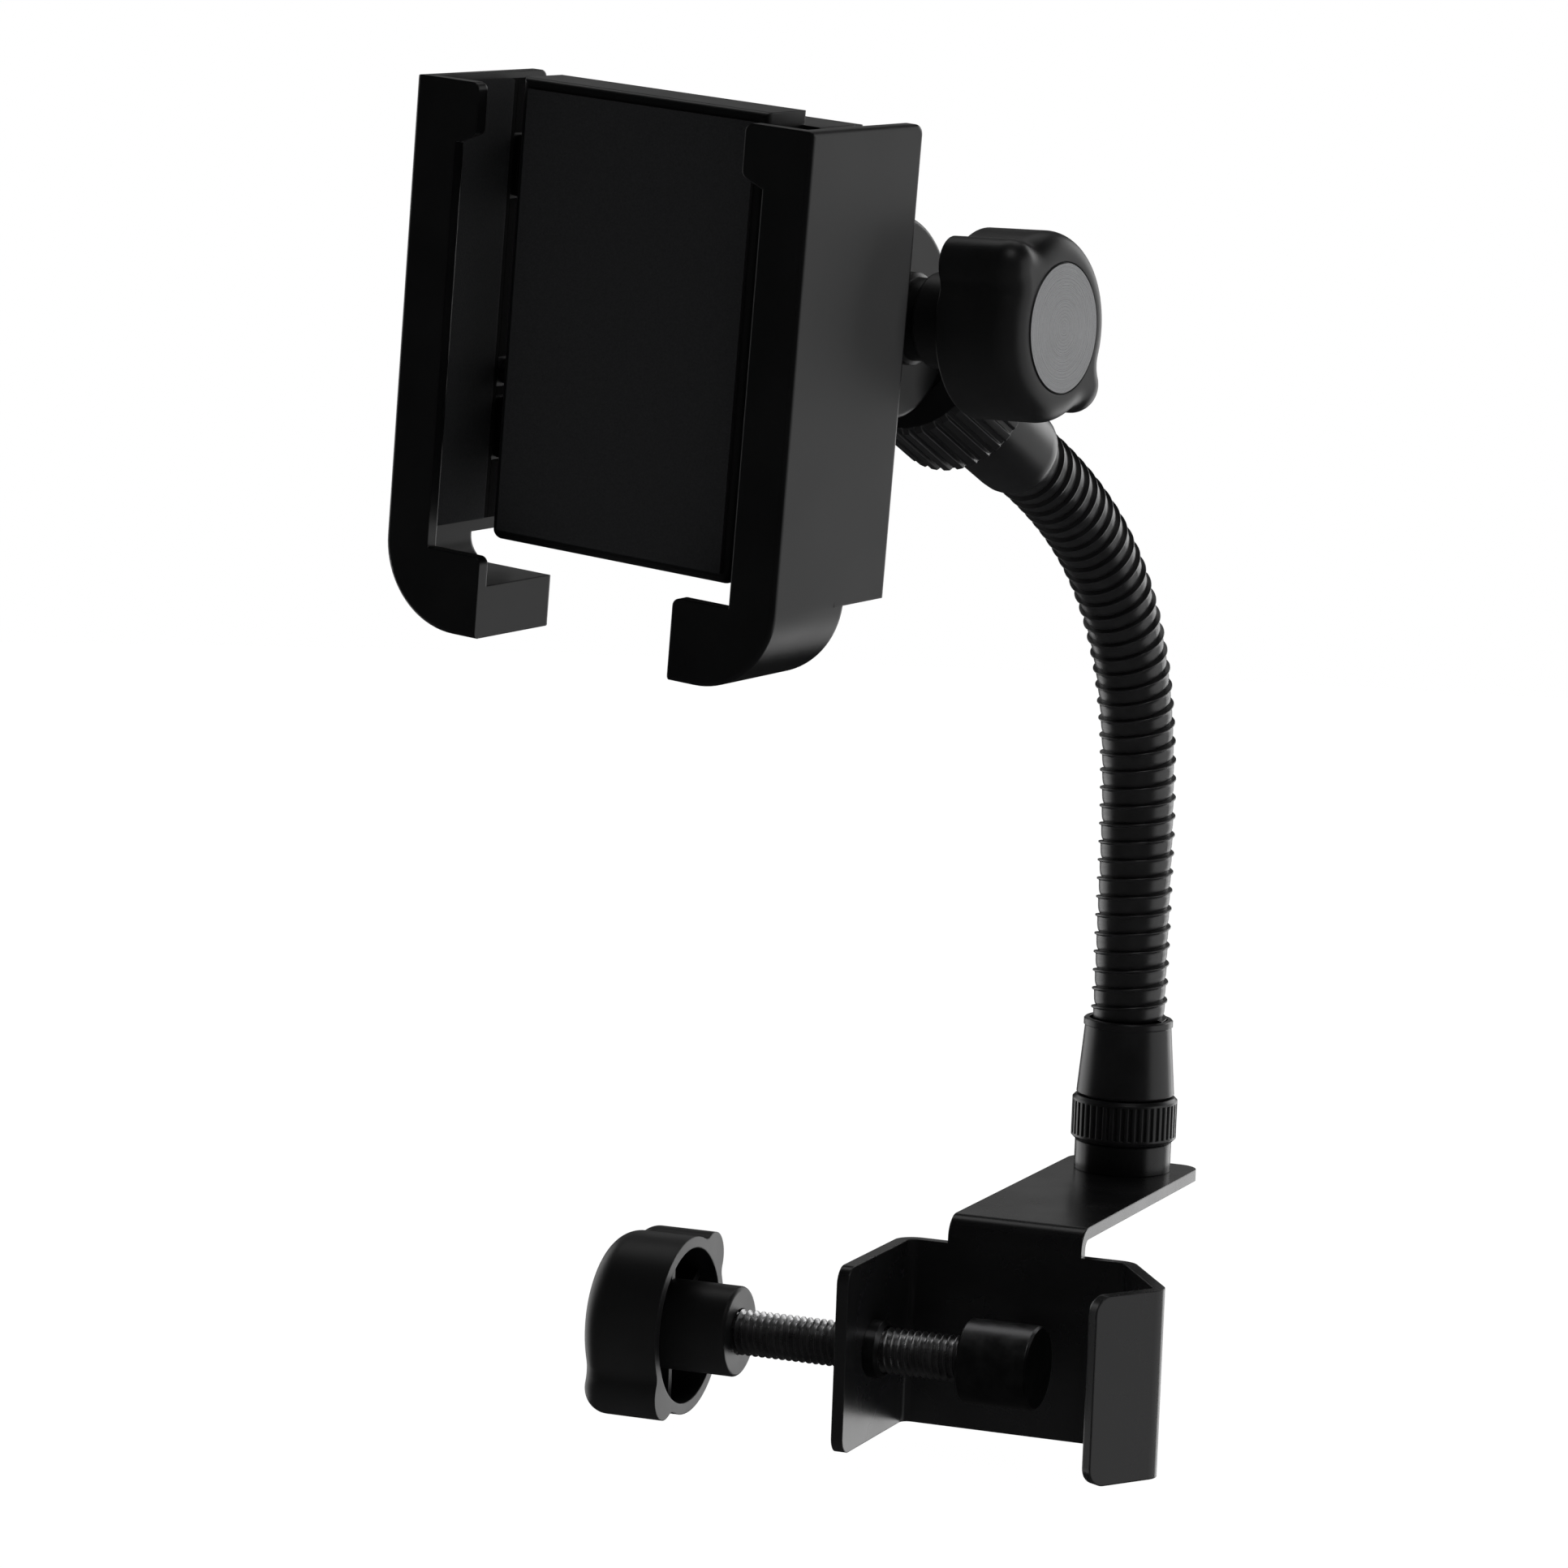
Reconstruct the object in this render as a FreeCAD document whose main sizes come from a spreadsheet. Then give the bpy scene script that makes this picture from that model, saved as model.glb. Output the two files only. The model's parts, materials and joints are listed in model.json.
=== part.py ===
"""Phone holder with a screw clamp, a flexible neck, a tilt joint and a spring cradle. Millimetres."""
import FreeCAD, Part
import math
import os
import Sketcher

# Driving sizes
DIMS = {
    "sheet_gauge": 2.5, "band_half": 19.5, "plate_y": 20.0, "tube_rad": 10.9, "vee_half": 57.0,
    "ear_inner": 47.3, "ear_front": 15.6, "lip_front": 14.0, "corner_rad": 3.6, "bend_inner": 2.0,
    "strip_wide": 29.4, "plate_top": 25.2, "stub_x": 24.1, "stub_y": 90.7,
    "plate_rear": 11.6, "rear_rad": 5.0,
    "screw_dia": 9.6, "bush_dia": 11.0, "bush_collar": 12.0, "bush_long": 3.2, "run_fit": 0.1,
    "pad_dia": 17.4, "pad_long": 15.4, "tip_dia": 7.0, "tip_long": 7.8,
    "knob_dia": 37.4, "knob_thick": 17.6, "knob_wall": 2.3, "knob_floor": 4.6, "knob_round": 5.2,
    "lobe_rad": 5.6, "lobe_reach": 17.2, "hub_dia": 19.0, "hub_out": 11.4,
    "disc_dia": 25.6, "disc_thick": 1.0,
    "rib_thick": 1.8, "rib_drop": 4.0, "knob_gap": 27.6,
    "stub_dia": 21.1, "stub_tall": 6.6, "spud_dia": 15.5, "spud_tall": 27.0, "rivet_dia": 12.0,
    "ring_dia": 23.0, "ring_tall": 9.7, "knurl_deep": 0.45,
    "cone_low": 21.4, "cone_high": 19.5, "cone_tall": 16.9, "seat_deep": 3.0,
    "neck_dia": 16.6, "neck_root": 14.7, "turn_pitch": 4.05, "neck_bore": 10.0,
    "nose_rad": 6.4, "socket_gap": 0.3,
    "yaw": 11.6, "top_cone": 17.4, "top_cone_end": 19.4, "top_cone_tall": 22.0,
    "nut_dia": 25.0, "nut_long": 19.0, "nut_rib_deep": 1.0, "head_long": 68.4, "stem_dia": 14.0,
    "boss_dia": 40.4, "boss_left": 5.5, "boss_right": 7.5, "pivot_dia": 8.0, "ear_gap": 0.3,
    "ear_thick": 13.5, "arm_back": 34.6, "arm_side": 14.5, "flange_dia": 36.0, "flange_thick": 5.0,
    "knob_near": 16.2, "bolt_head_dia": 13.8, "bolt_head_tall": 5.2, "bolt_cover": 4.2, "edge_break": 0.7,
    "cradle_tilt": 3.0, "cradle_roll": 5.0, "pivot_high": 62.2,
    "cradle_wide": 90.9, "cradle_tall": 106.6, "cradle_deep": 38.7, "jaw_deep": 25.1,
    "tab_wide": 14.9, "tab_tall": 9.8, "lip_thick": 2.8, "lip_wide": 10.1, "side_thick": 3.0,
    "foot_long": 22.8, "floor_high": 10.2, "step_high": 15.6, "lip_high": 16.0, "jaw_round": 17.0,
    "box_inset": 17.2, "box_front": 10.6, "box_low": 18.0, "box_drop": 1.6,
    "slab_deep": 12.0, "slab_rise": 1.1, "rear_inset": 13.2,
    "pad_inset": 2.0, "foam_thick": 0.8, "cover_thick": 3.6, "arm_thick": 4.0, "arm_tall": 12.0,
    "arm_long": 39.0, "arm_front": 30.8, "arm_low": 30.0, "arm_high": 82.0, "slot_gap": 0.3,
    "coil_dia": 5.0, "coil_bore": 3.0, "coil_room": 6.6, "coil_drop": 15.0, "coil_gap": 0.3,
    "liner_thick": 0.8, "liner_edge": 1.4, "liner_low": 18.0,
    "jaw_corner": 2.1, "jaw_edge": 1.0, "rim_round": 1.4, "tab_round": 1.6, "inner_round": 5.0,
    "slab_corner": 2.0, "front_round": 1.6, "back_round": 1.4, "boss_round": 1.2, "hub_round": 0.8,
    "waist_round": 3.0,
    "spacer_dia": 18.4, "spacer_neck": 16.4, "spacer_rim": 3.6, "swivel_dia": 5.0, "swivel_head": 11.2,
    "swivel_deep": 13.0, "case_screw": 3.0, "case_head": 5.5, "case_sink": 1.6, "case_corner": 5.0,
}
NECK_COUNT = 19
NECK_BEND = [0.0, 0.0, 0.0, 0.0, 0.0, 1.0, 2.0, 3.2, 4.6, 5.7, 6.5, 6.6, 6.7, 6.5, 6.0, 5.4, 4.2, 3.4, 2.5]

doc = FreeCAD.newDocument("phone_holder")
sheet = doc.addObject("Spreadsheet::Sheet", "dims")
for number, (label, amount) in enumerate(DIMS.items(), 1):
    sheet.set("A%d" % number, label)
    sheet.set("B%d" % number, str(amount))
    sheet.setAlias("B%d" % number, label)
doc.recompute()


class Size:
    """A number that remembers the sheet formula it came from."""

    def __init__(self, value, text=None):
        self.value = float(value)
        self.text = text if text else "%.9g" % float(value)

    def mix(self, other, sign, value):
        return Size(value, "(%s %s %s)" % (self.text, sign, other.text))

    def __add__(self, other):
        other = size(other)
        return self.mix(other, "+", self.value + other.value)

    def __sub__(self, other):
        other = size(other)
        return self.mix(other, "-", self.value - other.value)

    def __mul__(self, other):
        other = size(other)
        return self.mix(other, "*", self.value * other.value)

    def __truediv__(self, other):
        other = size(other)
        return self.mix(other, "/", self.value / other.value)

    def __neg__(self):
        return Size(-self.value, "(0 - %s)" % self.text)

    def __radd__(self, other):
        return size(other) + self

    def __rsub__(self, other):
        return size(other) - self

    def __rmul__(self, other):
        return size(other) * self


def size(value):
    return value if isinstance(value, Size) else Size(value)


def tan_of(angle):
    return Size(math.tan(math.radians(angle.value)), "tan(%s * 1 deg)" % angle.text)


def sin_of(angle):
    return Size(math.sin(math.radians(angle.value)), "sin(%s * 1 deg)" % angle.text)


def cos_of(angle):
    return Size(math.cos(math.radians(angle.value)), "cos(%s * 1 deg)" % angle.text)


class Sheet:
    """Gives each sheet value by its name."""

    def __getattr__(self, label):
        return Size(DIMS[label], "dims.%s" % label)


s = Sheet()


def new_body(label):
    return doc.addObject("PartDesign::Body", label)


def plane_of(body, role):
    for feature in body.Origin.OriginFeatures:
        if feature.Role == role:
            return feature
    raise ValueError(role)


def pin(sketch, edge, kind, amount):
    if abs(amount.value) < 1e-9:
        sketch.addConstraint(Sketcher.Constraint("PointOnObject", edge, 1, -2 if kind == "DistanceX" else -1))
        return
    index = sketch.addConstraint(Sketcher.Constraint(kind, -1, 1, edge, 1, amount.value))
    sketch.setExpression("Constraints[%d]" % index, amount.text)


def start_sketch(body, label, role, lift):
    sketch = body.newObject("Sketcher::SketchObject", label)
    sketch.AttachmentSupport = [(plane_of(body, role), "")]
    sketch.MapMode = "FlatFace"
    if lift is not None:
        sketch.AttachmentOffset = FreeCAD.Placement(FreeCAD.Vector(0, 0, lift.value), FreeCAD.Rotation())
        sketch.setExpression("AttachmentOffset.Base.z", lift.text)
    return sketch


def outline(body, label, role, points, lift=None):
    """Draws a closed outline whose corners are held by sheet formulas."""
    sketch = start_sketch(body, label, role, lift)
    points = [(size(x), size(y)) for x, y in points]
    spots = [FreeCAD.Vector(x.value, y.value, 0) for x, y in points]
    count = len(points)
    for index in range(count):
        sketch.addGeometry(Part.LineSegment(spots[index], spots[(index + 1) % count]), False)
    for index in range(count):
        sketch.addConstraint(Sketcher.Constraint("Coincident", index, 2, (index + 1) % count, 1))
    for index, (x, y) in enumerate(points):
        pin(sketch, index, "DistanceX", x)
        pin(sketch, index, "DistanceY", y)
    return sketch


def pad(body, label, sketch, length, reverse=False):
    feature = body.newObject("PartDesign::Pad", label)
    feature.Profile = sketch
    feature.Length = length.value
    feature.setExpression("Length", length.text)
    feature.Reversed = reverse
    doc.recompute()
    return feature


def turn(body, label, points):
    """Turns a half section, given as radius and height, about the body's own Z axis."""
    sketch = outline(body, label + "_section", "XZ_Plane", points)
    feature = body.newObject("PartDesign::Revolution", label)
    feature.Profile = sketch
    feature.ReferenceAxis = (sketch, ["V_Axis"])
    feature.Angle = 360
    doc.recompute()
    return feature


def box(body, label, low, span, cut=False):
    feature = body.newObject("PartDesign::SubtractiveBox" if cut else "PartDesign::AdditiveBox", label)
    low = [size(v) for v in low]
    span = [size(v) for v in span]
    for prop, amount in zip(("Length", "Width", "Height"), span):
        setattr(feature, prop, amount.value)
        feature.setExpression(prop, amount.text)
    feature.Placement = FreeCAD.Placement(FreeCAD.Vector(*[v.value for v in low]), FreeCAD.Rotation())
    for axis, amount in zip("xyz", low):
        feature.setExpression("Placement.Base." + axis, amount.text)
    doc.recompute()
    return feature


TURNS = {"x": FreeCAD.Rotation(FreeCAD.Vector(0, 1, 0), 90),
         "y": FreeCAD.Rotation(FreeCAD.Vector(1, 0, 0), -90),
         "z": FreeCAD.Rotation()}


def rod(body, label, axis, start, radius, length, cut=False):
    """Adds or cuts a cylinder that runs from start along the given axis."""
    kind = "Subtractive" if cut else "Additive"
    feature = body.newObject("PartDesign::%sCylinder" % kind, label)
    start = [size(v) for v in start]
    radius = size(radius)
    length = size(length)
    feature.Radius = radius.value
    feature.setExpression("Radius", radius.text)
    feature.Height = length.value
    feature.setExpression("Height", length.text)
    feature.Placement = FreeCAD.Placement(FreeCAD.Vector(*[v.value for v in start]), TURNS[axis])
    for letter, amount in zip("xyz", start):
        feature.setExpression("Placement.Base." + letter, amount.text)
    doc.recompute()
    return feature


def ring_of(body, label, feature, count):
    pattern = body.newObject("PartDesign::PolarPattern", label)
    pattern.Originals = [feature]
    pattern.Axis = (plane_of(body, "Z_Axis"), [""])
    pattern.Angle = 360
    pattern.Occurrences = count
    body.Tip = pattern
    doc.recompute()
    return pattern


def soften(body, label, radius, test):
    """Rounds the edges of the body that the test picks by their middle, length and direction."""
    base = body.Tip
    names = []
    for index, edge in enumerate(base.Shape.Edges, 1):
        middle = edge.CenterOfMass
        first = edge.Vertexes[0].Point
        last = edge.Vertexes[-1].Point
        if test(middle, edge.Length, last - first, edge):
            names.append("Edge%d" % index)
    if not names:
        raise ValueError("no edge for " + label)
    feature = body.newObject("PartDesign::Fillet", label)
    feature.Base = (base, names)
    radius = size(radius)
    feature.Radius = radius.value
    feature.setExpression("Radius", radius.text)
    doc.recompute()
    if "Invalid" in feature.State or feature.Shape.isNull():
        raise ValueError("round failed " + label)
    return feature


def near(value, goal, slack=0.05):
    return abs(value - goal) < slack


def along_x(span):
    return abs(span.y) < 1e-6 and abs(span.z) < 1e-6


def along_y(span):
    return abs(span.x) < 1e-6 and abs(span.z) < 1e-6


def upright(span):
    return abs(span.x) < 1e-6 and abs(span.y) < 1e-6


PARTS = {}


def keep(label, thing):
    PARTS[label] = thing


# Clamp bracket: folded band, neck strip and top plate
gauge = s.sheet_gauge
apex = s.tube_rad / sin_of(s.vee_half)
slope = tan_of(s.vee_half)
bracket = new_body("clamp_bracket")
lip_x = apex - s.lip_front / slope
band = outline(bracket, "band_plan", "XY_Plane", [
    (-s.ear_inner, -s.ear_front), (-s.ear_inner, s.plate_y), (apex - s.plate_y / slope, s.plate_y), (apex, 0),
    (lip_x, -s.lip_front), (lip_x + gauge * sin_of(s.vee_half), -s.lip_front - gauge * cos_of(s.vee_half)),
    (apex + gauge / sin_of(s.vee_half), 0),
    (apex + gauge / sin_of(s.vee_half) - (s.plate_y + gauge) / slope, s.plate_y + gauge),
    (-s.ear_inner - gauge, s.plate_y + gauge), (-s.ear_inner - gauge, -s.ear_front)], -s.band_half)
pad(bracket, "band", band, s.band_half * 2)
strip = outline(bracket, "strip_side", "YZ_Plane", [
    (s.plate_y, s.band_half - 2), (s.plate_y, s.plate_top), (s.stub_y + s.plate_rear, s.plate_top),
    (s.stub_y + s.plate_rear, s.plate_top - gauge), (s.plate_y + gauge, s.plate_top - gauge),
    (s.plate_y + gauge, s.band_half - 2)], -s.stub_x - s.strip_wide / 2)
pad(bracket, "strip", strip, s.strip_wide)
rod(bracket, "rivet_hole", "z", (-s.stub_x, s.stub_y, s.plate_top - gauge - 1), s.rivet_dia / 2 + 0.05,
    gauge + 2, True)
rod(bracket, "bush_hole", "x", (-s.ear_inner - gauge - 1, 0, 0), s.bush_dia / 2 + 0.03, gauge + 2, True)
inner_bends = [(-DIMS["ear_inner"], DIMS["plate_y"]), (apex.value - (s.plate_y / slope).value, DIMS["plate_y"]),
               (apex.value, 0)]
shift = (gauge / sin_of(s.vee_half)).value
plate_back = (s.plate_y + gauge).value
outer_bends = [(-DIMS["ear_inner"] - DIMS["sheet_gauge"], plate_back),
               (apex.value + shift - plate_back / slope.value, plate_back),
               (apex.value + shift, 0)]
soften(bracket, "inner_bends", s.bend_inner, lambda m, l, d, e: (upright(d) and any(
    near(m.x, x) and near(m.y, y) for x, y in inner_bends)) or (
    near(m.y, plate_back) and near(m.z, DIMS["plate_top"] - DIMS["sheet_gauge"])))
soften(bracket, "outer_bends", s.bend_inner + gauge, lambda m, l, d, e: (upright(d) and any(
    near(m.x, x) and near(m.y, y) for x, y in outer_bends)) or (
    near(m.y, DIMS["plate_y"]) and near(m.z, DIMS["plate_top"])))
soften(bracket, "rear_corners", s.rear_rad, lambda m, l, d, e: upright(d) and near(
    m.y, DIMS["stub_y"] + DIMS["plate_rear"]))
tip_mid_x = (lip_x + gauge * sin_of(s.vee_half) / 2).value
tip_mid_y = (-s.lip_front - gauge * cos_of(s.vee_half) / 2).value
soften(bracket, "end_corners", s.corner_rad, lambda m, l, d, e: near(abs(m.z), DIMS["band_half"]) and near(
    l, DIMS["sheet_gauge"]) and (
    near(m.y, -DIMS["ear_front"]) or near(m.x, tip_mid_x) and near(m.y, tip_mid_y)))
keep("clamp_bracket", bracket)

# Threaded bush in the ear
to_x = FreeCAD.Rotation(FreeCAD.Vector(0, 1, 0), 90)
to_minus_x = FreeCAD.Rotation(FreeCAD.Vector(0, 1, 0), -90)
bush = new_body("thread_bush")
bore = s.screw_dia / 2 + s.run_fit
turn(bush, "bush", [
    (bore, 0), (s.bush_dia / 2, 0), (s.bush_dia / 2, gauge), (s.bush_collar / 2, gauge),
    (s.bush_collar / 2, gauge + s.bush_long - 0.8), (s.bush_collar / 2 - 0.8, gauge + s.bush_long),
    (bore, gauge + s.bush_long)])
bush.Placement = FreeCAD.Placement(FreeCAD.Vector(-DIMS["ear_inner"] - DIMS["sheet_gauge"], 0, 0), to_x)
keep("thread_bush", bush)

# Pressure pad, screw and knob, turned about the screw's axis
pad_start = -DIMS["tube_rad"] - DIMS["pad_long"]
shoe = new_body("clamp_pad")
turn(shoe, "shoe", [
    (0, s.tip_long + 0.2), (s.tip_dia / 2 + s.run_fit, s.tip_long + 0.2), (s.tip_dia / 2 + s.run_fit, 0),
    (s.pad_dia / 2 - 0.5, 0), (s.pad_dia / 2, 0.5), (s.pad_dia / 2, s.pad_long - 0.5),
    (s.pad_dia / 2 - 0.5, s.pad_long), (0, s.pad_long)])
shoe.Placement = FreeCAD.Placement(FreeCAD.Vector(pad_start, 0, 0), to_x)
keep("clamp_pad", shoe)

hub_end = -DIMS["ear_inner"] - DIMS["sheet_gauge"] - DIMS["knob_gap"] + 0.6
face_x = hub_end - DIMS["hub_out"] - DIMS["knob_thick"]
screw = new_body("clamp_screw")
screw_run = Size(pad_start - 0.2 - hub_end)
bore_deep = s.knob_thick + s.hub_out - s.knob_floor - 3
turn(screw, "shank", [
    (0, -bore_deep + 1), (s.screw_dia / 2 - 0.8, -bore_deep + 1), (s.screw_dia / 2, -bore_deep + 1.8),
    (s.screw_dia / 2, screw_run - 0.8), (s.screw_dia / 2 - 0.8, screw_run), (s.tip_dia / 2, screw_run),
    (s.tip_dia / 2, screw_run + s.tip_long - 0.5), (s.tip_dia / 2 - 0.5, screw_run + s.tip_long),
    (0, screw_run + s.tip_long)])
screw.Placement = FreeCAD.Placement(FreeCAD.Vector(hub_end, 0, 0), to_x)
keep("clamp_screw", screw)


def make_knob(label, hole_dia):
    """Round knob with two thumb lobes, a hollow ribbed back and a hub. Face at zero, hub at the top."""
    knob = new_body(label)
    rod(knob, label + "_round", "z", (0, 0, 0), s.knob_dia / 2, s.knob_thick)
    for side in (1, -1):
        rod(knob, label + "_lobe%d" % (1 if side > 0 else 2), "z",
            (s.lobe_reach * 0.7071 * side, s.lobe_reach * -0.7071 * side, 0), s.lobe_rad, s.knob_thick)
    reach = DIMS["lobe_reach"] - DIMS["lobe_rad"] * 0.5
    soften(knob, label + "_waist", s.waist_round,
           lambda m, l, d, e: upright(d) and math.hypot(m.x, m.y) > reach)
    soften(knob, label + "_edge", s.knob_round, lambda m, l, d, e: near(m.z, 0) and abs(d.z) < 1e-6)
    rod(knob, label + "_hollow", "z", (0, 0, s.knob_floor), s.knob_dia / 2 - s.knob_wall, s.knob_thick, True)
    inner = s.knob_dia / 2 - s.knob_wall
    rib = box(knob, label + "_rib", (s.hub_dia / 4, -s.rib_thick / 2, s.knob_floor - 0.5),
              (inner - s.hub_dia / 4 + 0.5, s.rib_thick, s.knob_thick - s.knob_floor - s.rib_drop + 0.5))
    ring_of(knob, label + "_ribs", rib, 6)
    rod(knob, label + "_hub", "z", (0, 0, s.knob_floor - 0.5), s.hub_dia / 2,
        s.knob_thick + s.hub_out - s.knob_floor + 0.5)
    rod(knob, label + "_bore", "z", (0, 0, s.knob_floor + 3), hole_dia / 2 + 0.05,
        s.knob_thick + s.hub_out, True)
    rod(knob, label + "_recess", "z", (0, 0, -0.5), s.disc_dia / 2 + 0.1, s.disc_thick - 0.2 + 0.5, True)
    soften(knob, label + "_hub_edge", s.hub_round, lambda m, l, d, e: near(
        m.z, DIMS["knob_thick"] + DIMS["hub_out"]) and l > 3.1 * DIMS["hub_dia"])
    return knob


def make_disc(label):
    disc = new_body(label)
    turn(disc, label + "_turned", [
        (0, s.disc_thick - 0.2), (s.disc_dia / 2, s.disc_thick - 0.2), (s.disc_dia / 2, 0.1),
        (s.disc_dia / 2 - 0.3, -0.2), (0, -0.2)])
    return disc


knob_place = FreeCAD.Placement(FreeCAD.Vector(face_x, 0, 0), to_x)
clamp_knob = make_knob("clamp_knob", s.screw_dia)
clamp_knob.Placement = knob_place
keep("clamp_knob", clamp_knob)
clamp_disc = make_disc("clamp_knob_disc")
clamp_disc.Placement = knob_place
keep("clamp_knob_disc", clamp_disc)

# Stub, lock ring and lower ferrule on the top plate
base_place = FreeCAD.Placement(
    FreeCAD.Vector(-DIMS["stub_x"], DIMS["stub_y"], DIMS["plate_top"]), FreeCAD.Rotation())
stub = new_body("base_stub")
turn(stub, "stub", [
    (0, -gauge), (s.rivet_dia / 2, -gauge), (s.rivet_dia / 2, 0), (s.stub_dia / 2, 0),
    (s.stub_dia / 2, s.stub_tall - 0.4), (s.stub_dia / 2 - 0.4, s.stub_tall), (s.spud_dia / 2, s.stub_tall),
    (s.spud_dia / 2, s.spud_tall - 1), (s.spud_dia / 2 - 1, s.spud_tall), (0, s.spud_tall)])
stub.Placement = base_place
keep("base_stub", stub)

ring = new_body("lock_ring")
ring_low = s.stub_tall + 0.15
ring_bore = s.spud_dia / 2 + s.run_fit
turn(ring, "ring", [
    (ring_bore, ring_low), (s.ring_dia / 2 - 0.7, ring_low), (s.ring_dia / 2, ring_low + 0.7),
    (s.ring_dia / 2, ring_low + s.ring_tall - 0.7), (s.ring_dia / 2 - 0.7, ring_low + s.ring_tall),
    (ring_bore, ring_low + s.ring_tall)])
groove = outline(ring, "knurl_plan", "XY_Plane", [
    (s.ring_dia / 2 - s.knurl_deep, -0.12), (s.ring_dia / 2 - s.knurl_deep, 0.12),
    (s.ring_dia / 2 + 0.3, 0.72), (s.ring_dia / 2 + 0.3, -0.72)], ring_low + 1.2)
knurl = ring.newObject("PartDesign::Pocket", "knurl")
knurl.Profile = groove
knurl.Length = DIMS["ring_tall"] - 2.4
knurl.setExpression("Length", "dims.ring_tall - 2.4")
knurl.Reversed = True
doc.recompute()
ring_of(ring, "knurls", knurl, 44)
ring.Placement = base_place
keep("lock_ring", ring)

cone = new_body("lower_ferrule")
cone_low = ring_low + s.ring_tall + 0.15
cone_top = cone_low + s.cone_tall
turn(cone, "cone", [
    (ring_bore, cone_low), (s.cone_low / 2 - 0.5, cone_low), (s.cone_low / 2, cone_low + 0.5),
    (s.cone_high / 2 - 0.3, cone_top - 1.6), (s.cone_high / 2, cone_top - 1.5),
    (s.cone_high / 2, cone_top - 0.3), (s.cone_high / 2 - 0.3, cone_top), (s.neck_dia / 2 + 0.25, cone_top),
    (s.neck_dia / 2 + 0.25, cone_top - s.seat_deep), (s.nose_rad - 0.4, cone_top - s.seat_deep),
    (s.nose_rad - 0.4, cone_top - s.seat_deep - 1), (ring_bore, cone_top - s.seat_deep - 1.4)])
cone.Placement = base_place
keep("lower_ferrule", cone)

# Flexible neck: one length of two turns, set along the bend
link = new_body("neck_length")
pitch = s.turn_pitch
ridge = s.neck_dia / 2
root = s.neck_root / 2
step = pitch * 2
ball = s.nose_rad
cup = s.nose_rad + s.socket_gap
turn(link, "two_turns", [
    (cup - 0.04, 0.75), (root, 0.75), (ridge, pitch - 0.55), (ridge - 0.15, pitch - 0.3), (root + 0.05, pitch),
    (ridge, step - 0.65), (ridge - 0.2, step - 0.45), (ball, step - 0.65), (ball, step + 0.4),
    (ball - 0.36, step + 2.1), (s.neck_bore / 2, step + 2.1), (s.neck_bore / 2, 3.7), (cup - 0.45, 3.7),
    (cup - 0.3, 1.9)])
psi = math.radians(DIMS["yaw"])
bend_axis = FreeCAD.Vector(math.cos(psi), -math.sin(psi), 0)
neck_start = base_place.Base + FreeCAD.Vector(0, 0, cone_top.value - DIMS["seat_deep"] - 0.75)
spot = neck_start
angle = 0.0
neck_spots = []
last = None
for index in range(NECK_COUNT):
    angle += NECK_BEND[index]
    spin = FreeCAD.Rotation(bend_axis, angle)
    neck_spots.append((spot, angle))
    piece = doc.addObject("Part::Feature", "neck_%02d" % (index + 1))
    piece.Shape = link.Shape.copy()
    piece.Placement = FreeCAD.Placement(spot, spin)
    keep("neck_%02d" % (index + 1), piece)
    spot = spot + spin.multVec(FreeCAD.Vector(0, 0, 2 * DIMS["turn_pitch"]))
head_place = FreeCAD.Placement(spot, FreeCAD.Rotation(bend_axis, angle).multiply(
    FreeCAD.Rotation(FreeCAD.Vector(0, 0, 1), -DIMS["yaw"])))

# Upper ferrule, ribbed nut and tilt knuckle, on the neck's last direction
ferrule = new_body("upper_ferrule")
turn(ferrule, "top_cone", [
    (s.neck_dia / 2 + 0.25, -2.6), (s.top_cone / 2 + 0.4, -2.6), (s.top_cone / 2 + 0.5, -1.8),
    (s.top_cone_end / 2, s.top_cone_tall - 0.5), (s.top_cone_end / 2 - 0.5, s.top_cone_tall),
    (0, s.top_cone_tall), (0, 2.6), (s.nose_rad + 0.3, 2.6), (s.nose_rad + 0.3, -0.45), (s.neck_dia / 2 + 0.25, -0.45)])
ferrule.Placement = head_place
keep("upper_ferrule", ferrule)

nut_low = s.top_cone_tall + 0.2
nut = new_body("ribbed_nut")
stem_bore = s.stem_dia / 2 + s.run_fit
turn(nut, "nut", [
    (stem_bore, nut_low), (s.nut_dia / 2 - 1, nut_low), (s.nut_dia / 2, nut_low + 1),
    (s.nut_dia / 2, nut_low + s.nut_long - 1), (s.nut_dia / 2 - 1, nut_low + s.nut_long),
    (stem_bore, nut_low + s.nut_long)])
flute = outline(nut, "flute_plan", "XY_Plane", [
    (s.nut_dia / 2 - s.nut_rib_deep, -0.55), (s.nut_dia / 2 - s.nut_rib_deep, 0.55),
    (s.nut_dia / 2 + 0.5, 1.25), (s.nut_dia / 2 + 0.5, -1.25)], nut_low - 1)
flutes = nut.newObject("PartDesign::Pocket", "flute")
flutes.Profile = flute
flutes.Length = DIMS["nut_long"] + 2
flutes.setExpression("Length", "dims.nut_long + 2")
flutes.Reversed = True
doc.recompute()
ring_of(nut, "flutes", flutes, 22)
nut.Placement = head_place
keep("ribbed_nut", nut)

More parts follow.
